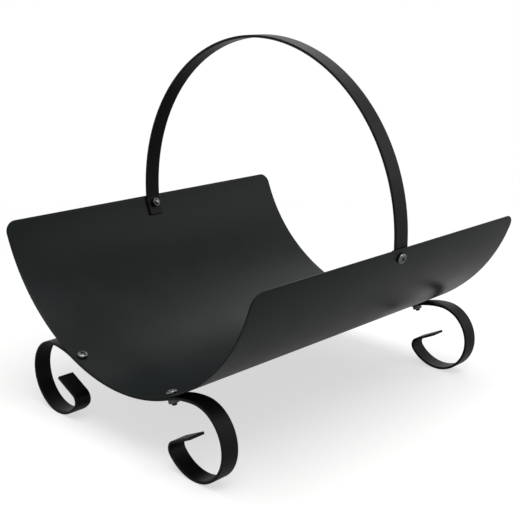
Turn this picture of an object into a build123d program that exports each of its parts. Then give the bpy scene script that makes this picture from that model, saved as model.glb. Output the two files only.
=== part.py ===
from build123d import *
import math
import os

# Firewood rack: a rolled steel trough on two bent flat-bar legs, with a hoop handle.
# Millimetres. X is across the trough, Y along it and Z up. The origin is on the floor,
# in the middle of the four feet.

# Trough: one sheet, rolled about Y, so a log lies along Y
trough_length = 430.0
sheet_thickness = 1.5
bottom_radius = 215.0        # inner face, over the bottom of the bowl
bottom_half_angle = 43.0     # degrees each side of the middle
wall_radius = 190.0          # inner face, up each wall
wall_angle = 31.5            # degrees of that tighter bend
sheet_corner_radius = 14.0

# Flat bar: the same stock for the legs and the handle
bar_width = 20.0
bar_thickness = 3.0

# Legs: each bar hugs the trough, arches over and curls into a scroll foot
leg_inset = 0.5              # from the end of the sheet to the bar's edge
hug_angle = 21.5             # degrees from the middle to where the bar leaves the sheet
shoulder_radius = 107.0      # reverse bend, from the sheet to the top of the arch
arch_radius = 40.0
arch_angle = 50.0
side_radius = 43.0           # goes on to the foot's lowest line
sole_radius = 47.0           # the scroll opens out as it rolls inwards
sole_angle = 49.0
curl_radius = 10.6           # the tight turn back
curl_angle = 105.0
tail_length = 30.0

# Handle: a half circle, its tails on the inside of the walls
hoop_straight = 7.66         # from the half circle down to the bend onto the wall
tail_top_below_edge = 5.5    # where the hoop's leg bends onto the wall
tail_bend_radius = 15.0
tail_past_screw = 15.0

# Screws and nuts: M6, all alike
thread_diameter = 6.0
screw_length = 12.0          # under the head
head_diameter = 12.0
head_height = 3.6
head_rim_height = 1.9
head_crown_diameter = 6.8    # the flat that the recess is sunk in
thread_point = 0.6           # chamfer at the screw's end
recess_span = 6.4            # cross recess, tip to tip
recess_slot = 1.5
recess_depth = 2.2
nut_across_flats = 10.0
nut_height = 5.0
leg_screw_angle = 20.6       # degrees from the middle of the trough
handle_screw_below_edge = 11.0

# Fits
paint_gap = 0.1              # powder coat between a bar and the sheet
seat_gap = 0.03              # under a head or a nut
hole_clearance = 0.6         # on the screw's diameter
thread_clearance = 0.1       # nut bore over the screw's diameter


def walk(x, z, heading, bends):
    """Stations (x, z, heading) along a path of arcs and straights.

    A bend is (radius, degrees), with positive degrees turning left, and a straight is
    (None, length). Headings are in degrees from +X towards +Z.
    """
    stations = [(x, z, heading)]
    for radius, amount in bends:
        x, z, heading = stations[-1]
        if radius is None:
            x += amount * math.cos(math.radians(heading))
            z += amount * math.sin(math.radians(heading))
        else:
            swing = math.copysign(radius, amount)
            turned = heading + amount
            x += swing * (math.sin(math.radians(turned)) - math.sin(math.radians(heading)))
            z += swing * (math.cos(math.radians(heading)) - math.cos(math.radians(turned)))
            heading = turned
        stations.append((x, z, heading))
    return stations


def beside(station, offset):
    """The point at a distance to the right of a station on a path."""
    x, z, heading = station
    side = math.radians(heading - 90.0)
    return (x + offset * math.cos(side), z + offset * math.sin(side))


def face_edges(stations, bends, offset):
    """The edges of one face of a strip, a distance to the right of its path."""
    edges = []
    for station, following, (radius, amount) in zip(stations, stations[1:], bends):
        start = beside(station, offset)
        end = beside(following, offset)
        if radius is None:
            edges.append(Line(start, end))
        else:
            half_way = walk(*station, [(radius, amount / 2)])[-1]
            edges.append(ThreePointArc(start, beside(half_way, offset), end))
    return edges


def strip(middle, half_bends, thickness, width):
    """A strip bent in the XZ plane, the same both sides of x = 0.

    middle is the height of the path's middle, where it runs level. half_bends lead from
    there to the right-hand end, and the strip's thickness lies to the right of its path.
    """
    right_end = walk(0.0, middle, 0.0, half_bends)[-1]
    centre_bend = [(half_bends[0][0], 2 * half_bends[0][1])]
    bends = half_bends[:0:-1] + centre_bend + half_bends[1:]
    stations = walk(-right_end[0], right_end[1], -right_end[2], bends)
    near_face = face_edges(stations, bends, 0.0)
    far_face = face_edges(stations, bends, thickness)
    left_cut = Line(near_face[0] @ 0, far_face[0] @ 0)
    right_cut = Line(near_face[-1] @ 1, far_face[-1] @ 1)
    outline = make_face(near_face + far_face + [left_cut, right_cut])
    return extrude(Plane.XZ * outline, amount=width / 2, both=True)


# Trough profile, from the middle of its bottom to its right-hand edge
trough_bends = [(bottom_radius, bottom_half_angle), (wall_radius, wall_angle)]

# Leg profile along the bar's upper face. The bends after the sheet all turn right.
hug_radius = bottom_radius + sheet_thickness + paint_gap
leg_bends = [
    (hug_radius, hug_angle),
    (shoulder_radius, -hug_angle),
    (arch_radius, -arch_angle),
    (side_radius, arch_angle - 180.0),
    (sole_radius, -sole_angle),
    (curl_radius, -curl_angle),
    (None, tail_length),
]

# Heights above the floor, which the lowest of the leg's stations rests on
bar_top = -min(z for x, z, heading in walk(0.0, 0.0, 0.0, leg_bends))
trough_bottom = bar_top + sheet_thickness + paint_gap


def wall_point(below_edge):
    """Station on the inner face of the right-hand wall, a distance below its edge."""
    turn_back = math.degrees(below_edge / wall_radius)
    return walk(0.0, trough_bottom, 0.0, [trough_bends[0], (wall_radius, wall_angle - turn_back)])[-1]


# Handle profile along the hoop's outer face, found upwards from the wall and then down
tail_radius = wall_radius - paint_gap
tail_top = wall_point(tail_top_below_edge)
tail_top_x, tail_top_z = beside(tail_top, -paint_gap)
tail_slope = tail_top[2]
tail_length_on_wall = handle_screw_below_edge + tail_past_screw - tail_top_below_edge
tail_angle = math.degrees(tail_length_on_wall / tail_radius)
bend_angle = 90.0 - tail_slope
hoop_radius = tail_top_x + tail_bend_radius * (1.0 - math.cos(math.radians(bend_angle)))
bend_top_z = tail_top_z + tail_bend_radius * math.sin(math.radians(bend_angle))
hoop_top = bend_top_z + hoop_straight + hoop_radius
handle_bends = [
    (hoop_radius, -90.0),
    (None, hoop_straight),
    (tail_bend_radius, -bend_angle),
    (tail_radius, -tail_angle),
]


def hollow(radius, flat_radius):
    """How far a flat disc stands off the middle of a hollow face that its rim rests on."""
    return radius - math.sqrt(radius**2 - flat_radius**2)


def screw():
    """Pan-head screw with a cross recess: its head sits on z = 0 and its shank goes down."""
    head_radius = head_diameter / 2
    shank_radius = thread_diameter / 2
    profile = Polyline(
        (0.0, head_height),
        (head_crown_diameter / 2, head_height),
        (head_radius, head_rim_height),
        (head_radius, 0.0),
        (shank_radius, 0.0),
        (shank_radius, thread_point - screw_length),
        (shank_radius - thread_point, -screw_length),
        (0.0, -screw_length),
        close=True,
    )
    blank = revolve(Plane.XZ * make_face(profile), Axis.Z)
    cross = Rectangle(recess_span, recess_slot) + Rectangle(recess_slot, recess_span)
    return blank - extrude(Plane.XY.offset(head_height) * cross, amount=-recess_depth)


def nut():
    """Hexagon nut with a plain bore: it sits on z = 0 and goes down."""
    hexagon = RegularPolygon(nut_across_flats / 2, 6, major_radius=False)
    return extrude(hexagon - Circle((thread_diameter + thread_clearance) / 2), amount=-nut_height)


def square_to(point, slope, y):
    """A plane at a point of the trough's right half, its Z along the inner face's normal."""
    x, z = point
    lean = math.radians(slope)
    return Plane(
        origin=(x, y, z),
        x_dir=(math.cos(lean), 0.0, math.sin(lean)),
        z_dir=(-math.sin(lean), 0.0, math.cos(lean)),
    )


def mirrored(shape, side):
    """The shape itself on the right-hand side, and its mirror image on the left."""
    return shape if side > 0 else mirror(shape, Plane.YZ)


# Places of the fasteners on the right-hand half
leg_y = trough_length / 2 - leg_inset - bar_width / 2
leg_seat = walk(0.0, trough_bottom, 0.0, [(bottom_radius, leg_screw_angle)])[-1]
handle_seat = wall_point(handle_screw_below_edge)
grip = sheet_thickness + paint_gap + bar_thickness
drill = Cylinder((thread_diameter + hole_clearance) / 2, 2 * screw_length)


def leg_frame(side_y):
    return square_to(leg_seat[:2], leg_seat[2], side_y * leg_y)


handle_frame = square_to(handle_seat[:2], handle_seat[2], 0.0)
leg_holes = [mirrored(leg_frame(end) * drill, side) for end in (-1, 1) for side in (-1, 1)]
handle_holes = [mirrored(handle_frame * drill, side) for side in (-1, 1)]


def make_trough():
    sheet = strip(trough_bottom, trough_bends, sheet_thickness, trough_length)
    straight_edges = sheet.edges().filter_by(GeomType.LINE)
    corners = straight_edges - straight_edges.filter_by(Axis.Y)
    return fillet(corners, sheet_corner_radius) - leg_holes - handle_holes


def make_leg(side_y):
    bar = strip(bar_top, leg_bends, bar_thickness, bar_width)
    return Pos(0, side_y * leg_y, 0) * bar - leg_holes


def make_handle():
    return strip(hoop_top, handle_bends, bar_thickness, bar_width) - handle_holes


# A leg screw's head rests in the hollow of the trough, and its nut on the bar's round underside.
# A handle screw's head rests on the round outside of the wall, and its nut in the hoop's hollow.
leg_head_lift = hollow(bottom_radius, head_diameter / 2) + seat_gap
leg_nut_drop = grip + seat_gap
handle_head_drop = sheet_thickness + seat_gap
handle_nut_lift = bar_thickness + paint_gap + seat_gap
handle_nut_lift += hollow(tail_radius - bar_thickness, nut_across_flats / math.sqrt(3))
upside_down = Rot(180, 0, 0)

parts = {
    "trough": make_trough(),
    "front_leg": make_leg(-1),
    "rear_leg": make_leg(1),
    "handle": make_handle(),
}
for end_name, end in (("front", -1), ("rear", 1)):
    for side_name, side in (("left", -1), ("right", 1)):
        place = leg_frame(end)
        parts[f"leg_screw_{end_name}_{side_name}"] = mirrored(place * Pos(0, 0, leg_head_lift) * screw(), side)
        parts[f"leg_nut_{end_name}_{side_name}"] = mirrored(place * Pos(0, 0, -leg_nut_drop) * nut(), side)
for side_name, side in (("left", -1), ("right", 1)):
    outside = handle_frame * Pos(0, 0, -handle_head_drop) * upside_down
    inside = handle_frame * Pos(0, 0, handle_nut_lift) * upside_down
    parts[f"handle_screw_{side_name}"] = mirrored(outside * screw(), side)
    parts[f"handle_nut_{side_name}"] = mirrored(inside * nut(), side)

os.makedirs("parts", exist_ok=True)
for name, shape in parts.items():
    export_step(shape, f"parts/{name}.step")

print("hoop radius", round(hoop_radius, 2), "overall height", round(hoop_top, 2))
print("trough bottom above the floor", round(trough_bottom, 2), "top edge", round(wall_point(0.0)[1], 2))
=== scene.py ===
import bpy
import numpy as np
from mathutils import Matrix, Vector


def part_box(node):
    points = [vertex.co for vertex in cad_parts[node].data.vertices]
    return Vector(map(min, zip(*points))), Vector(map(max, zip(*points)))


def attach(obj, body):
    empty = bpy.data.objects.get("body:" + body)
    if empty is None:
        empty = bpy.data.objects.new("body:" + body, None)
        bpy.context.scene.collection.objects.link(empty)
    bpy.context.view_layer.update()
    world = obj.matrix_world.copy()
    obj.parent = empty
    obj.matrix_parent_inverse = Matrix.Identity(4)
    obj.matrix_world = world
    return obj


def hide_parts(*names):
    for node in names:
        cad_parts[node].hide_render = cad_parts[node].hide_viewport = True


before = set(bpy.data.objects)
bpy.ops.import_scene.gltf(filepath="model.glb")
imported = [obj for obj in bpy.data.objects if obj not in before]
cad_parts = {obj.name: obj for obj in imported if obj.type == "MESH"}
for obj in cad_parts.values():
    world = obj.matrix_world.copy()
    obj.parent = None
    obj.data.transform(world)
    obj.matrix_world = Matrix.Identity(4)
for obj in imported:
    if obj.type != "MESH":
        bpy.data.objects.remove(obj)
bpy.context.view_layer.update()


# Trough
# The bowl that the logs lie in: one blank of 1.5 mm mild steel, sheared, punched for its six
# screws, rolled in two radii each side and powder coated satin black. The legs are screwed
# up against its underside.

MM = 0.001
sheet = 1.5 * MM
sheet_corner = 14 * MM
sheet_edge = 0.45 * MM           # the coat rounds the sheared edge over
bowl_radius, bowl_angle = 215 * MM, np.radians(43.0)
wall_radius, wall_angle = 190 * MM, np.radians(31.5)
screw_hole = 3.3 * MM            # clearance hole for M6
leg_screw_angle = np.radians(20.6)
handle_screw_down = 11 * MM      # below the wall's top edge, along the wall
trough_low, trough_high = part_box("trough")
trough_length = trough_high.y - trough_low.y
trough_bottom = trough_low.z + sheet
trough_bends = [(bowl_radius * bowl_angle, 1 / bowl_radius), (wall_radius * wall_angle, 1 / wall_radius)]


def along(bends, middle_height, distance):
    """Point and heading on a bent strip's path, at a distance from its middle.

    Each bend is (length, curvature), left turns positive. Along one of them the chord is
    length times sinc(half the turn), and it points half the turn away from the heading there.
    """
    lengths = np.array([length for length, curve in bends])
    curves = np.array([curve for length, curve in bends])
    starts = np.concatenate([[0.0], np.cumsum(lengths)[:-1]])
    headings = np.concatenate([[0.0], np.cumsum(lengths * curves)[:-1]])
    chords = lengths * np.sinc(lengths * curves / 2 / np.pi)
    half_way = headings + lengths * curves / 2
    x0 = np.concatenate([[0.0], np.cumsum(chords * np.cos(half_way))[:-1]])
    z0 = np.concatenate([[0.0], np.cumsum(chords * np.sin(half_way))[:-1]]) + middle_height
    bend = np.searchsorted(starts, distance, side="right") - 1
    bend = np.clip(bend, 0, len(bends) - 1)
    run = distance - starts[bend]
    half_turn = run * curves[bend] / 2
    chord = run * np.sinc(half_turn / np.pi)
    x = x0[bend] + chord * np.cos(headings[bend] + half_turn)
    z = z0[bend] + chord * np.sin(headings[bend] + half_turn)
    return x, z, headings[bend] + 2 * half_turn


def bent(flat, bends, middle_height, y_centre):
    """A flat blank's points (s, w, depth) bent to shape, the same both sides of x = 0.

    s runs along the path from its middle, w along Y and depth to the right of the path:
    x = side (X(|s|) + depth sin h), z = Z(|s|) - depth cos h, y = centre + w.
    """
    s, w, depth = flat.T
    x, z, heading = along(bends, middle_height, np.abs(s))
    side = np.where(s < 0, -1.0, 1.0)
    return np.column_stack([side * (x + depth * np.sin(heading)), y_centre + w, z - depth * np.cos(heading)])


def grid_lines(half, step, stops, patch, corner, guard):
    """Places of a blank's grid lines from -half to half: fine over holes and corners.

    A narrow guard row along each border keeps the faces' shading flat up to the rim.
    """
    inner = half - corner
    cells_in_patch = 8
    fine = [(stop - patch, stop + patch) for stop in stops] + [(guard - half, -inner), (inner, half - guard)]
    marks = np.unique(np.round([-half, *np.ravel(fine), half], 9))
    middles = (marks[1:] + marks[:-1]) / 2
    lines = [marks[:1]]
    for a, b, middle in zip(marks, marks[1:], middles):
        is_fine = any(low < middle < high for low, high in fine)
        count = cells_in_patch if is_fine else max(1, int(np.ceil((b - a) / step)))
        lines.append(np.linspace(a, b, count + 1)[1:])
    return np.concatenate(lines)


def punched_blank(length, width, thickness, corner, edge, holes, step):
    """A flat blank with round corners, round-over edges and round holes, closed all over.

    Both faces are grids in (s, w). A corner's square patch maps to a quarter disc by
    (a, b) -> (a sqrt(1 - b b / 2), b sqrt(1 - a a / 2)), the rim is a half round swept on the
    outline, and each hole's patch is a ring from its square to its circle.
    """
    half_s, half_w = length / 2 - edge, width / 2 - edge
    inner_corner = corner - edge
    guard = inner_corner / 4
    patch = 1.5 * max(radius for s, w, radius in holes)
    s_lines = grid_lines(half_s, step, {s for s, w, radius in holes}, patch, inner_corner, guard)
    w_lines = grid_lines(half_w, step, {w for s, w, radius in holes}, patch, inner_corner, guard)
    s, w = np.meshgrid(s_lines, w_lines, indexing="ij")
    a = np.clip((np.abs(s) - half_s + inner_corner) / inner_corner, 0, None)
    b = np.clip((np.abs(w) - half_w + inner_corner) / inner_corner, 0, None)
    in_corner = (a > 0) & (b > 0)
    round_s = np.sign(s) * (half_s - inner_corner + inner_corner * a * np.sqrt(1 - b * b / 2))
    round_w = np.sign(w) * (half_w - inner_corner + inner_corner * b * np.sqrt(1 - a * a / 2))
    s, w = np.where(in_corner, round_s, s), np.where(in_corner, round_w, w)
    rows, columns = s.shape
    index = np.arange(rows * columns).reshape(rows, columns)

    face = np.column_stack([s.ravel(), w.ravel(), np.zeros(s.size)])
    points = [face, face + [0, 0, thickness]]
    keep = np.ones((rows - 1, columns - 1), bool)
    s_middle, w_middle = (s_lines[1:] + s_lines[:-1]) / 2, (w_lines[1:] + w_lines[:-1]) / 2
    for hole_s, hole_w, radius in holes:
        keep &= ~np.outer(np.abs(s_middle - hole_s) < patch, np.abs(w_middle - hole_w) < patch)
    cells = np.stack([index[:-1, :-1], index[1:, :-1], index[1:, 1:], index[:-1, 1:]], -1)[keep]
    back = s.size
    quads = [cells, cells[:, ::-1] + back]
    total = 2 * s.size

    def skin(loops):
        """Quads between loops of vertex numbers, each loop closed on itself."""
        loops = np.array(loops)
        after = np.roll(loops, -1, axis=1)
        return np.stack([loops[:-1], after[:-1], after[1:], loops[1:]], -1).reshape(-1, 4)

    outline = np.concatenate([index[:, 0], index[-1, 1:], index[-2::-1, -1], index[0, -2:0:-1]])
    on_edge = face[outline, :2]
    centres = np.sign(on_edge) * np.minimum(np.abs(on_edge), [half_s - inner_corner, half_w - inner_corner])
    outwards = (on_edge - centres) / np.linalg.norm(on_edge - centres, axis=1, keepdims=True)
    loops = [outline]
    turns = np.linspace(0, np.pi / 2, 5)[1:]
    rim = [(edge * np.sin(t), edge * (1 - np.cos(t))) for t in turns]
    rim += [(out, thickness - depth) for out, depth in rim[::-1]]
    for out, depth in rim:
        points.append(np.column_stack([on_edge + out * outwards, np.full(len(outline), depth)]))
        loops.append(total + np.arange(len(outline)))
        total += len(outline)
    loops.append(outline + back)
    quads.append(skin(loops)[:, ::-1])

    for hole_s, hole_w, radius in holes:
        i0, i1 = (np.argmin(np.abs(s_lines - hole_s - d)) for d in (-patch, patch))
        j0, j1 = (np.argmin(np.abs(w_lines - hole_w - d)) for d in (-patch, patch))
        square = np.concatenate(
            [index[i0:i1, j0], index[i1, j0:j1], index[i1:i0:-1, j1], index[i0, j1:j0:-1]]
        )
        spokes = face[square, :2] - [hole_s, hole_w]
        circle = radius * spokes / np.linalg.norm(spokes, axis=1, keepdims=True)
        loops = [square]
        for share, depth in ((0.5, 0.0), (1.0, 0.0), (1.0, thickness), (0.5, thickness)):
            ring = (1 - share) * spokes + share * circle + [hole_s, hole_w]
            points.append(np.column_stack([ring, np.full(len(square), depth)]))
            loops.append(total + np.arange(len(square)))
            total += len(square)
        loops.append(square + back)
        quads.append(skin(loops))
    return np.concatenate(points), np.concatenate(quads)


def make_piece(name, points, faces, stands_for, material):
    """A smooth-shaded closed mesh that faces outwards and stands for CAD nodes.

    The sign of its volume, from the sum of each face's corner products, tells its winding.
    A face that names a vertex twice, as at a pole, is a triangle.
    """
    a, b, c, d = (points[faces[:, k]] for k in range(4))
    volume = np.einsum("ij,ij->", a, np.cross(b, c)) + np.einsum("ij,ij->", a, np.cross(c, d))
    if volume < 0:
        faces = faces[:, ::-1]
    mesh = bpy.data.meshes.new(name)
    mesh.from_pydata(points.tolist(), [], [list(dict.fromkeys(face)) for face in faces.tolist()])
    mesh.update()
    mesh.polygons.foreach_set("use_smooth", np.ones(len(mesh.polygons), bool))
    piece = bpy.data.objects.new(name, mesh)
    bpy.context.scene.collection.objects.link(piece)
    mesh.materials.append(material)
    for node in stands_for:
        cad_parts[node].data.materials.clear()
        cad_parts[node].data.materials.append(material)
    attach(piece, "root")
    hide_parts(*stands_for)
    return piece


def linear(hex_colour):
    """An sRGB hex colour as linear RGBA: below 0.04045 over 12.92, above it a 2.4 power."""
    value = np.array([int(hex_colour[i:i + 2], 16) / 255 for i in (1, 3, 5)])
    value = np.where(value <= 0.04045, value / 12.92, ((value + 0.055) / 1.055) ** 2.4)
    return (*value.tolist(), 1.0)


def add_node(tree, kind, links=(), **settings):
    """A shader node with its settings, its inputs by name and links (output, input name)."""
    node = tree.nodes.new(kind)
    inputs = settings.pop("inputs", {})
    for key, value in settings.items():
        setattr(node, key, value)
    for key, value in inputs.items():
        node.inputs[key].default_value = value
    for output, key in links:
        tree.links.new(output, node.inputs[key])
    return node


def new_material(name):
    """An empty node material and its node tree."""
    material = bpy.data.materials.new(name)
    material.use_nodes = True
    material.node_tree.nodes.clear()
    return material, material.node_tree


def powder_coat(name, dark, light, dullest):
    """Polyester powder baked on blasted steel: near-black, a soft wide sheen, orange peel.

    The eye sees the peel as a faint ripple in the sheen. A real one is about 1.5 mm from
    crest to crest, and it is drawn at 2.5 mm so that it shows.
    """
    peel_wave = 2.5 * MM
    grit_wave = 0.7 * MM
    cloud_wave = 60 * MM
    sheen_spread = 0.06
    material, tree = new_material(name)
    place = add_node(tree, "ShaderNodeTexCoord").outputs["Object"]
    cloud = add_node(tree, "ShaderNodeTexNoise", [(place, "Vector")],
                     inputs={"Scale": 1 / cloud_wave, "Detail": 3.0, "Roughness": 0.55})
    grit = add_node(tree, "ShaderNodeTexNoise", [(place, "Vector")],
                    inputs={"Scale": 1 / grit_wave, "Detail": 2.0})
    peel = add_node(tree, "ShaderNodeTexNoise", [(place, "Vector")],
                    inputs={"Scale": 1 / peel_wave, "Detail": 1.0, "Roughness": 0.4})
    blend = add_node(tree, "ShaderNodeMath", [(cloud.outputs["Fac"], 0), (grit.outputs["Fac"], 1)],
                     operation="MULTIPLY")
    colour = add_node(tree, "ShaderNodeValToRGB", [(blend.outputs[0], "Fac")])
    colour.color_ramp.elements[0].position = 0.1
    colour.color_ramp.elements[0].color = linear(dark)
    colour.color_ramp.elements[1].position = 0.42
    colour.color_ramp.elements[1].color = linear(light)
    sheen = add_node(tree, "ShaderNodeMapRange", [(cloud.outputs["Fac"], "Value")],
                     inputs={"From Min": 0.3, "From Max": 0.7,
                             "To Min": dullest - sheen_spread, "To Max": dullest})
    ripple = add_node(tree, "ShaderNodeBump", [(peel.outputs["Fac"], "Height")],
                      inputs={"Strength": 0.3, "Distance": 0.1 * MM})
    texture = add_node(tree, "ShaderNodeBump",
                       [(grit.outputs["Fac"], "Height"), (ripple.outputs[0], "Normal")],
                       inputs={"Strength": 0.2, "Distance": 0.03 * MM})
    coat = add_node(tree, "ShaderNodeBsdfPrincipled",
                    [(colour.outputs["Color"], "Base Color"), (sheen.outputs[0], "Roughness"),
                     (texture.outputs[0], "Normal")],
                    inputs={"IOR": 1.5, "Specular IOR Level": 0.10, "Metallic": 0.0})
    add_node(tree, "ShaderNodeOutputMaterial", [(coat.outputs[0], "Surface")])
    return material


sheet_coat = powder_coat("satin_black_powder_coat_on_sheet", "#0b0f0f", "#101515", 0.36)
half_developed = sum(length for length, curve in trough_bends)
leg_low, leg_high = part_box("front_leg")
bar_width = leg_high.y - leg_low.y
leg_row = -(leg_low.y + leg_high.y) / 2       # distance of each row of leg screws from y = 0
leg_screw_s = bowl_radius * leg_screw_angle
handle_screw_s = half_developed - handle_screw_down
sheet_holes = [(side * leg_screw_s, end * leg_row, screw_hole) for side in (-1, 1) for end in (-1, 1)]
sheet_holes += [(side * handle_screw_s, 0.0, screw_hole) for side in (-1, 1)]
flat, faces = punched_blank(2 * half_developed, trough_length, sheet, sheet_corner, sheet_edge,
                            sheet_holes, 4 * MM)
make_piece("trough_sheet", bent(flat, trough_bends, trough_bottom, 0.0), faces,
           ["trough"], sheet_coat)


# Legs
# Two lengths of 20 by 3 mm flat bar, bent cold round formers: each hugs the trough's
# underside, arches over and rolls into a scroll foot with a short straight tail at each end.
# Powder coated like the trough, and held up against it by two screws.

bar = 3 * MM
bar_edge = 0.6 * MM              # rolled bar has eased edges
bar_corner = 1.2 * MM
coat_gap = 0.1 * MM
hug_radius, hug_angle = bowl_radius + sheet + coat_gap, np.radians(21.5)
shoulder_radius = 107 * MM
arch_radius, arch_angle = 40 * MM, np.radians(50)
side_radius = 43 * MM
sole_radius, sole_angle = 47 * MM, np.radians(49)
curl_radius, curl_angle = 10.6 * MM, np.radians(105)
tail_length = 30 * MM
leg_bends = [
    (hug_radius * hug_angle, 1 / hug_radius),
    (shoulder_radius * hug_angle, -1 / shoulder_radius),
    (arch_radius * arch_angle, -1 / arch_radius),
    (side_radius * (np.pi - arch_angle), -1 / side_radius),
    (sole_radius * sole_angle, -1 / sole_radius),
    (curl_radius * curl_angle, -1 / curl_radius),
    (tail_length, 0.0),
]
leg_length = 2 * sum(length for length, curve in leg_bends)
leg_top = trough_low.z - coat_gap
bar_coat = powder_coat("satin_black_powder_coat_on_bar", "#090909", "#0d0d0d", 0.46)
leg_holes = [(side * hug_radius * leg_screw_angle, 0.0, screw_hole) for side in (-1, 1)]
flat, faces = punched_blank(leg_length, bar_width, bar, bar_corner, bar_edge, leg_holes, 1.3 * MM)
for end, y_centre in (("front", -leg_row), ("rear", leg_row)):
    make_piece(f"{end}_leg_bar", bent(flat, leg_bends, leg_top, y_centre), faces,
               [f"{end}_leg"], bar_coat)


# Handle
# One more length of the same flat bar, bent to a half circle. Its two tails are set over to
# lie flat on the inside of the walls, where a single screw holds each of them.

handle_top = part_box("handle")[1].z
tail_start = 5.5 * MM            # below the wall's edge, where the bar comes to lie on the wall
tail_bend = 15 * MM
tail_past_screw = 15 * MM
tail_radius = wall_radius - coat_gap
wall_x, wall_z, wall_slope = along(trough_bends, trough_bottom, np.array([half_developed - tail_start]))
set_over = np.pi / 2 - wall_slope[0]
hoop_radius = wall_x[0] - coat_gap * np.sin(wall_slope[0]) + tail_bend * (1 - np.cos(set_over))
bend_top = wall_z[0] + coat_gap * np.cos(wall_slope[0]) + tail_bend * np.sin(set_over)
tail_on_wall = handle_screw_down + tail_past_screw - tail_start
handle_bends = [
    (hoop_radius * np.pi / 2, -1 / hoop_radius),
    (handle_top - hoop_radius - bend_top, 0.0),
    (tail_bend * set_over, -1 / tail_bend),
    (tail_on_wall, -1 / tail_radius),
]
half_handle = sum(length for length, curve in handle_bends)
handle_holes = [(side * (half_handle - tail_past_screw), 0.0, screw_hole) for side in (-1, 1)]
flat, faces = punched_blank(2 * half_handle, bar_width, bar, bar_corner, bar_edge, handle_holes, 1.6 * MM)
make_piece("handle_bar", bent(flat, handle_bends, handle_top, 0.0), faces,
           ["handle"], bar_coat)


# Screws
# Six M6 by 12 mm pan-head machine screws with a cross recess, cold headed, thread rolled and
# zinc plated, the plate now dull. The leg screws drop in from inside the trough, and the two
# handle screws go in from outside the walls.

thread_radius = 3 * MM
thread_pitch = 1 * MM
thread_depth = 0.5 * MM
screw_length = 12 * MM
head_radius = 6 * MM
head_height = 3.6 * MM
recess_reach = 3.8 * MM
recess_depth = 2.8 * MM
recess_half_slot = 1.15 * MM
seat_gap = 0.03 * MM


def revolved(radius, height):
    """A closed surface from radius and height over (turn, station), poles at both ends.

    x = r cos(turn), y = r sin(turn), z = height. The first and last stations are the poles.
    """
    turns, stations = radius.shape
    turn = np.linspace(0, 2 * np.pi, turns, endpoint=False)[:, None]
    points = np.stack([radius * np.cos(turn), radius * np.sin(turn), height], -1)
    inner = points[:, 1:-1].reshape(-1, 3)
    points = np.vstack([inner, points[0, 0], points[0, -1]])
    index = np.arange(turns * (stations - 2)).reshape(turns, stations - 2)
    after = np.roll(index, -1, axis=0)
    quads = np.stack([index[:, :-1], after[:, :-1], after[:, 1:], index[:, 1:]], -1).reshape(-1, 4)
    top, bottom = len(inner), len(inner) + 1
    cap = np.column_stack([index[:, 0], np.full(turns, top), np.full(turns, top), after[:, 0]])
    foot = np.column_stack([index[:, -1], after[:, -1], np.full(turns, bottom), np.full(turns, bottom)])
    return points, np.concatenate([quads, cap, foot])


def pan_head_screw():
    """Head on z = 0, shank down. The crown is the superellipse (r/R)^p + (z/k)^p = 1.

    The recess is a cross: with f the turn folded into an eighth, its outline is
    r = ((cos f / reach)^q + (sin f / half slot)^q)^(-1/q), and its floor rises as r^2 to the
    tips. The thread is a triangle wave of height over pitch less turn, so its crest is a helix.
    """
    turns = 144
    turn = np.linspace(0, 2 * np.pi, turns, endpoint=False)[:, None]
    roundness, squareness = 3.6, 8
    fold = np.abs((turn + np.pi / 4) % (np.pi / 2) - np.pi / 4)
    along_arm = (np.cos(fold) / recess_reach) ** squareness
    across_arm = (np.sin(fold) / recess_half_slot) ** squareness
    outline = (along_arm + across_arm) ** (-1 / squareness)
    floor_edge, rim, wall_run, tip_rise = 0.84, 1.04, 0.15, 0.75     # shares of the outline and depth
    on_floor, on_wall = np.linspace(0, floor_edge, 12), np.linspace(floor_edge + 0.02, 1.0, 5)
    inside = outline * np.concatenate([on_floor, on_wall, [rim]])
    top = head_height * (1 - (inside / head_radius) ** roundness) ** (1 / roundness)
    floor_depth = recess_depth * (1 - tip_rise * (inside / recess_reach) ** 2)
    sunk = top - floor_depth * np.clip((1 - inside / outline) / wall_run, 0, 1)
    start = np.arcsin((inside[:, -1:] / head_radius) ** (roundness / 2))
    angle = start + (np.pi / 2 - start) * np.linspace(0, 1, 19)[1:]
    crown_r = head_radius * np.sin(angle) ** (2 / roundness)
    crown_z = head_height * np.clip(np.cos(angle), 0, None) ** (2 / roundness)
    shank = np.linspace(0, 1, 110)[None, :] * screw_length
    wave = np.abs(((shank / thread_pitch - turn / (2 * np.pi)) % 1) * 2 - 1)
    flat_root, point_drop, point_slope, end_radius = 1.15, 0.75 * MM, 1.2, 1.2 * MM
    shank_r = thread_radius - thread_depth * np.clip(wave * flat_root, 0, 1)
    point = thread_radius - point_drop + np.clip((screw_length - shank) * point_slope, 0, None)
    shank_r = np.minimum(shank_r, point)
    ones = np.ones((turns, 1))
    under = np.linspace(head_radius, thread_radius, 4)[None, 1:]
    radius = np.hstack([inside, crown_r, under * ones, shank_r, end_radius * ones, 0 * ones])
    height = np.hstack([sunk, crown_z, 0 * under * ones, -shank * ones,
                        -screw_length * ones, -screw_length * ones])
    return revolved(radius, height)


def on_trough(distance, lift, y, flip):
    """Axes and foot of a fastener that stands on the trough's inner face, +Z off that face.

    distance runs from the middle of the bowl, with its sign for the side; lift is measured
    off the face, and flip turns the fastener over, for one that goes in from outside.
    """
    side = np.sign(distance)
    x, z, slope = (value[0] for value in along(trough_bends, trough_bottom, np.array([abs(distance)])))
    out = np.array([-side * np.sin(slope), 0, np.cos(slope)])
    across = np.array([np.cos(slope), 0, side * np.sin(slope)])
    foot = np.array([side * x, y, z]) + lift * out
    if flip:
        out, across = -out, across
    return np.column_stack([across, np.cross(out, across), out]), foot


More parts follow.
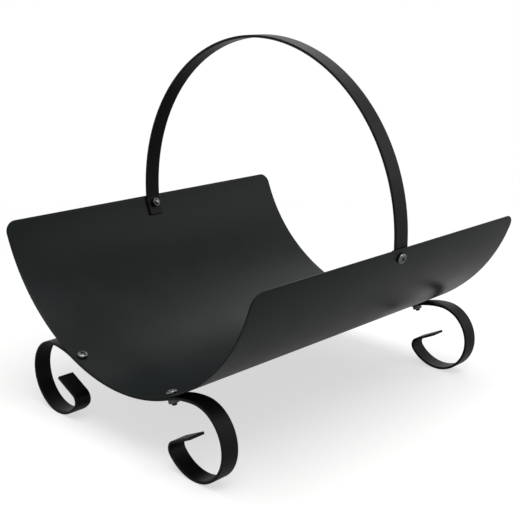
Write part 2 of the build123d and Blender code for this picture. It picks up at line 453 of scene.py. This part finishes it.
def stood(points, seat, twist):
    """Points turned about their own Z by twist, then stood on a seat: axes p + foot."""
    axes, foot = seat
    turn = np.array([[np.cos(twist), -np.sin(twist), 0], [np.sin(twist), np.cos(twist), 0], [0, 0, 1]])
    return points @ (axes @ turn).T + foot


def dulled_zinc_plate(name, cool, warm):
    """Barrel-plated zinc that has dulled: grey metal with a cast from cool to warm.

    Fine haze breaks up its reflections, about 0.4 mm across, drawn at 0.8 mm. The recess,
    the thread's root and the seat are darkened with painted shade, found by how closed in a point is.
    """
    haze_wave = 0.8 * MM
    cast_wave = 6 * MM
    painted_shade_reach = 1.6 * MM
    material, tree = new_material(name)
    place = add_node(tree, "ShaderNodeTexCoord").outputs["Object"]
    haze = add_node(tree, "ShaderNodeTexNoise", [(place, "Vector")],
                    inputs={"Scale": 1 / haze_wave, "Detail": 3.0})
    cast = add_node(tree, "ShaderNodeTexNoise", [(place, "Vector")],
                    inputs={"Scale": 1 / cast_wave, "Detail": 1.0})
    colour = add_node(tree, "ShaderNodeValToRGB", [(cast.outputs["Fac"], "Fac")])
    colour.color_ramp.elements[0].position = 0.35
    colour.color_ramp.elements[0].color = linear(cool)
    colour.color_ramp.elements[1].position = 0.65
    colour.color_ramp.elements[1].color = linear(warm)
    # Painted shade: ambient occlusion darkens the recess, the thread's root and the seat.
    closed_in = add_node(tree, "ShaderNodeAmbientOcclusion", samples=8, inputs={"Distance": painted_shade_reach})
    painted_shade_mask = add_node(tree, "ShaderNodeMapRange", [(closed_in.outputs["AO"], "Value")],
                    inputs={"From Min": 0.70, "From Max": 0.98})
    tone = add_node(tree, "ShaderNodeMix", [(painted_shade_mask.outputs[0], "Factor"), (colour.outputs["Color"], "B")],
                    data_type="RGBA")
    # The painted shade's near-black, mixed in where a point is closed in.
    tone.inputs["A"].default_value = linear("#080808")
    dull = add_node(tree, "ShaderNodeMapRange", [(haze.outputs["Fac"], "Value")],
                    inputs={"From Min": 0.3, "From Max": 0.7, "To Min": 0.18, "To Max": 0.30})
    ripple = add_node(tree, "ShaderNodeBump", [(haze.outputs["Fac"], "Height")],
                      inputs={"Strength": 0.2, "Distance": 0.02 * MM})
    plate = add_node(tree, "ShaderNodeBsdfPrincipled",
                     [(tone.outputs["Result"], "Base Color"), (dull.outputs[0], "Roughness"),
                      (ripple.outputs[0], "Normal")],
                     inputs={"Metallic": 1.0})
    add_node(tree, "ShaderNodeOutputMaterial", [(plate.outputs[0], "Surface")])
    return material


screw_zinc = dulled_zinc_plate("dulled_zinc_plate_on_screws", "#5c6063", "#6b6963")
screw_points, screw_faces = pan_head_screw()
leg_head_lift = bowl_radius - np.sqrt(bowl_radius**2 - head_radius**2) + seat_gap
corners = [(end, side) for end in ("front", "rear") for side in ("left", "right")]
sign = {"front": -1, "rear": 1, "left": -1, "right": 1}
for number, (end, side) in enumerate(corners):
    seat = on_trough(sign[side] * leg_screw_s, leg_head_lift, sign[end] * leg_row, False)
    twist = np.radians(20 + 47 * number)      # nobody lines the recesses up
    make_piece(f"leg_screw_{end}_{side}_m6", stood(screw_points, seat, twist), screw_faces,
               [f"leg_screw_{end}_{side}"], screw_zinc)
for side, twist in (("left", 0.3), ("right", 0.9)):
    seat = on_trough(sign[side] * handle_screw_s, -sheet - seat_gap, 0.0, True)
    make_piece(f"handle_screw_{side}_m6", stood(screw_points, seat, twist), screw_faces,
               [f"handle_screw_{side}"], screw_zinc)


# Nuts
# Six M6 hexagon nuts, cold formed with chamfered corners, tapped and zinc plated, their zinc painted
# darker than the screws' as shade. The leg nuts close on the bars' undersides, and the handle nuts on
# the tails' inner faces, each with the last threads of its screw standing out.

nut_flats = 10 * MM
nut_height = 5 * MM
nut_bore = 3.05 * MM


def hexagon_nut():
    """Bearing face on z = 0, body down. Over (turn, station) the radius is the smaller of the
    hexagon's, half the flats over cos(turn within a sixth), and the chamfer cone's, which
    opens at 60 degrees from the axis. The stations run round the wall, so it closes on itself.
    """
    turns = 120
    turn = np.linspace(0, 2 * np.pi, turns, endpoint=False)[:, None]
    sixth = (turn + np.pi / 6) % (np.pi / 3) - np.pi / 6
    hexagon = nut_flats / 2 / np.cos(sixth)
    corner_ease, face_share = 0.12 * MM, 0.95
    rounded = nut_flats / 2 / np.cos(np.pi / 6) - corner_ease
    face_circle = nut_flats / 2 * face_share
    chamfer = np.linspace(0, 0.6 * MM, 9)
    flats = np.linspace(1 * MM, nut_height - 1 * MM, 4)
    depth = np.concatenate([chamfer, flats, nut_height - chamfer[::-1]])
    from_face = np.minimum(depth, nut_height - depth)
    cone = face_circle + from_face * np.tan(np.radians(60))
    outside = np.minimum(np.minimum(hexagon, rounded), cone[None, :])
    lead_in = 0.35 * MM
    mouth, guard = nut_bore + lead_in, 0.08 * MM
    face = np.array([[mouth, mouth + guard, face_circle - guard]]) * np.ones((turns, 1))
    bore = np.full((turns, 2), nut_bore)
    radius = np.hstack([face, outside, face[:, ::-1], bore])
    stations = [[0, 0, 0], depth, [nut_height] * 3, [nut_height - lead_in, lead_in]]
    height = -np.concatenate(stations)[None, :] * np.ones((turns, 1))
    points = np.stack([radius * np.cos(turn), radius * np.sin(turn), height], -1)
    index = np.arange(points.size // 3).reshape(radius.shape)
    after, beyond = np.roll(index, -1, axis=0), np.roll(index, -1, axis=1)
    quads = np.stack([index, after, np.roll(after, -1, axis=1), beyond], -1).reshape(-1, 4)
    return points.reshape(-1, 3), quads


# Painted shade: the nuts get the screws' zinc painted darker, as if in the rack's shadow.
nut_zinc_painted_darker = dulled_zinc_plate("zinc_plate_on_nuts_painted_darker", "#3d4042", "#4a4844")
nut_points, nut_faces = hexagon_nut()
leg_nut_lift = -(sheet + coat_gap + bar + seat_gap)
tail_hollow = tail_radius - bar
nut_corner = nut_flats / np.sqrt(3)
handle_nut_lift = coat_gap + bar + tail_hollow - np.sqrt(tail_hollow**2 - nut_corner**2) + seat_gap
for number, (end, side) in enumerate(corners):
    seat = on_trough(sign[side] * leg_screw_s, leg_nut_lift, sign[end] * leg_row, False)
    make_piece(f"leg_nut_{end}_{side}_m6", stood(nut_points, seat, np.radians(8 + 20 * number)), nut_faces,
               [f"leg_nut_{end}_{side}"], nut_zinc_painted_darker)
for side, twist in (("left", 0.2), ("right", 0.52)):
    seat = on_trough(sign[side] * handle_screw_s, handle_nut_lift, 0.0, True)
    make_piece(f"handle_nut_{side}_m6", stood(nut_points, seat, twist), nut_faces,
               [f"handle_nut_{side}"], nut_zinc_painted_darker)


# Studio
# A wide pale floor that runs past the picture, a large softbox overhead and two smaller ones
# behind, to the right and to the left. The floor and the world are white to the camera, and the
# floor keeps the rack's shadow.

floor_half = 6.0
floor_drop = 0.2 * MM            # the board lies just clear of the feet
room_light = 0.40
fade_start, fade_end = 0.45, 1.3     # metres from the middle, where the board fades into plain white


def seen_ray(tree):
    """One for camera, glossy and transmission rays, which see the white background, else zero."""
    path = add_node(tree, "ShaderNodeLightPath").outputs
    seen = add_node(tree, "ShaderNodeMath", [(path["Is Camera Ray"], 0), (path["Is Glossy Ray"], 1)],
                    operation="MAXIMUM")
    return add_node(tree, "ShaderNodeMath", [(seen.outputs[0], 0), (path["Is Transmission Ray"], 1)],
                    operation="MAXIMUM").outputs[0]


def pale_floor():
    """Matt white board. Camera, glossy and transmission rays see it lifted towards clean
    white, darker where the rack's shadow lies, and past the fade as plain white.
    """
    camera_lift, mirrored_lift = 0.62, 0.22
    material, tree = new_material("matt_white_board")
    camera_ray = add_node(tree, "ShaderNodeLightPath").outputs["Is Camera Ray"]
    seen = seen_ray(tree)
    colour = add_node(tree, "ShaderNodeMix", [(seen, "Factor")], data_type="RGBA")
    colour.inputs["A"].default_value = linear("#e6e6e4")
    colour.inputs["B"].default_value = linear("#a8a8a7")
    extra = add_node(tree, "ShaderNodeMath", [(camera_ray, 0)], operation="MULTIPLY")
    extra.inputs[1].default_value = camera_lift - mirrored_lift
    strength = add_node(tree, "ShaderNodeMath", [(seen, 0), (extra.outputs[0], 2)], operation="MULTIPLY_ADD")
    strength.inputs[1].default_value = mirrored_lift
    board = add_node(tree, "ShaderNodeBsdfDiffuse", [(colour.outputs["Result"], "Color")])
    lift = add_node(tree, "ShaderNodeEmission", [(strength.outputs[0], "Strength")],
                    inputs={"Color": (1, 1, 1, 1)})
    near = add_node(tree, "ShaderNodeAddShader", [(board.outputs[0], 0), (lift.outputs[0], 1)])
    white = add_node(tree, "ShaderNodeEmission", inputs={"Color": (1, 1, 1, 1), "Strength": 1.0})
    place = add_node(tree, "ShaderNodeTexCoord").outputs["Object"]
    distance = add_node(tree, "ShaderNodeVectorMath", [(place, 0)], operation="LENGTH")
    fade = add_node(tree, "ShaderNodeMapRange", [(distance.outputs["Value"], "Value")],
                    interpolation_type="SMOOTHSTEP",
                    inputs={"From Min": fade_start, "From Max": fade_end})
    faded = add_node(tree, "ShaderNodeMath", [(fade.outputs[0], 0), (seen, 1)], operation="MULTIPLY")
    mixed = add_node(tree, "ShaderNodeMixShader",
                     [(faded.outputs[0], 0), (near.outputs[0], 1), (white.outputs[0], 2)])
    add_node(tree, "ShaderNodeOutputMaterial", [(mixed.outputs[0], "Surface")])
    return material


mesh = bpy.data.meshes.new("floor_board")
board_corners = [(x * floor_half, y * floor_half, 0) for x, y in ((-1, -1), (1, -1), (1, 1), (-1, 1))]
mesh.from_pydata(board_corners, [], [(0, 1, 2, 3)])
floor = bpy.data.objects.new("floor_board", mesh)
floor.data.materials.append(pale_floor())
floor.location.z = -floor_drop
bpy.context.scene.collection.objects.link(floor)

world = bpy.data.worlds.new("studio")
bpy.context.scene.world = world
world.use_nodes = True
world.node_tree.nodes.clear()
tree = world.node_tree
room = add_node(tree, "ShaderNodeBackground", inputs={"Color": (1, 1, 1, 1), "Strength": room_light})
white = add_node(tree, "ShaderNodeBackground", inputs={"Color": (1, 1, 1, 1), "Strength": 1.0})
mixed = add_node(tree, "ShaderNodeMixShader",
                 [(seen_ray(tree), 0), (room.outputs[0], 1), (white.outputs[0], 2)])
add_node(tree, "ShaderNodeOutputWorld", [(mixed.outputs[0], "Surface")])


def softbox(name, place, aim, size, power):
    """A square area lamp at a place, turned to face a point."""
    lamp = bpy.data.lights.new(name, "AREA")
    lamp.shape = "SQUARE"
    lamp.size = size
    lamp.energy = power
    box = bpy.data.objects.new(name, lamp)
    box.location = place
    box.rotation_euler = (Vector(aim) - Vector(place)).to_track_quat("-Z", "Y").to_euler()
    bpy.context.scene.collection.objects.link(box)


middle = (0.0, 0.0, 0.15)
softbox("softbox_overhead", (0.5, -0.2, 1.9), middle, 1.6, 36)
softbox("softbox_right", (1.3, 1.5, 1.1), middle, 1.0, 5)
softbox("softbox_back", (-0.58, 1.42, 1.28), middle, 0.9, 2.6)


# Camera
# A long lens from the near right-hand corner, a little above the walls' top edges. Its place,
# lens and slight roll are worked out from the outline of the photographed rack.

camera_place = Vector((0.751, -0.7623, 0.4532))
camera_azimuth, camera_elevation, camera_roll = np.radians([44.68, 15.34, -0.38])
focal_length = 65.8              # millimetres on a 36 mm sensor
back = Vector((np.sin(camera_azimuth) * np.cos(camera_elevation),
               -np.cos(camera_azimuth) * np.cos(camera_elevation), np.sin(camera_elevation)))
level = Vector((np.cos(camera_azimuth), np.sin(camera_azimuth), 0))
upright = back.cross(level)
right = level * np.cos(camera_roll) + upright * np.sin(camera_roll)
up = back.cross(right)
lens = bpy.data.cameras.new("camera")
lens.sensor_width = 36
lens.lens = focal_length
camera = bpy.data.objects.new("camera", lens)
camera.matrix_world = Matrix.Translation(camera_place) @ Matrix((right, up, back)).transposed().to_4x4()
bpy.context.scene.collection.objects.link(camera)
bpy.context.scene.camera = camera
bpy.context.scene.view_settings.view_transform = "Standard"
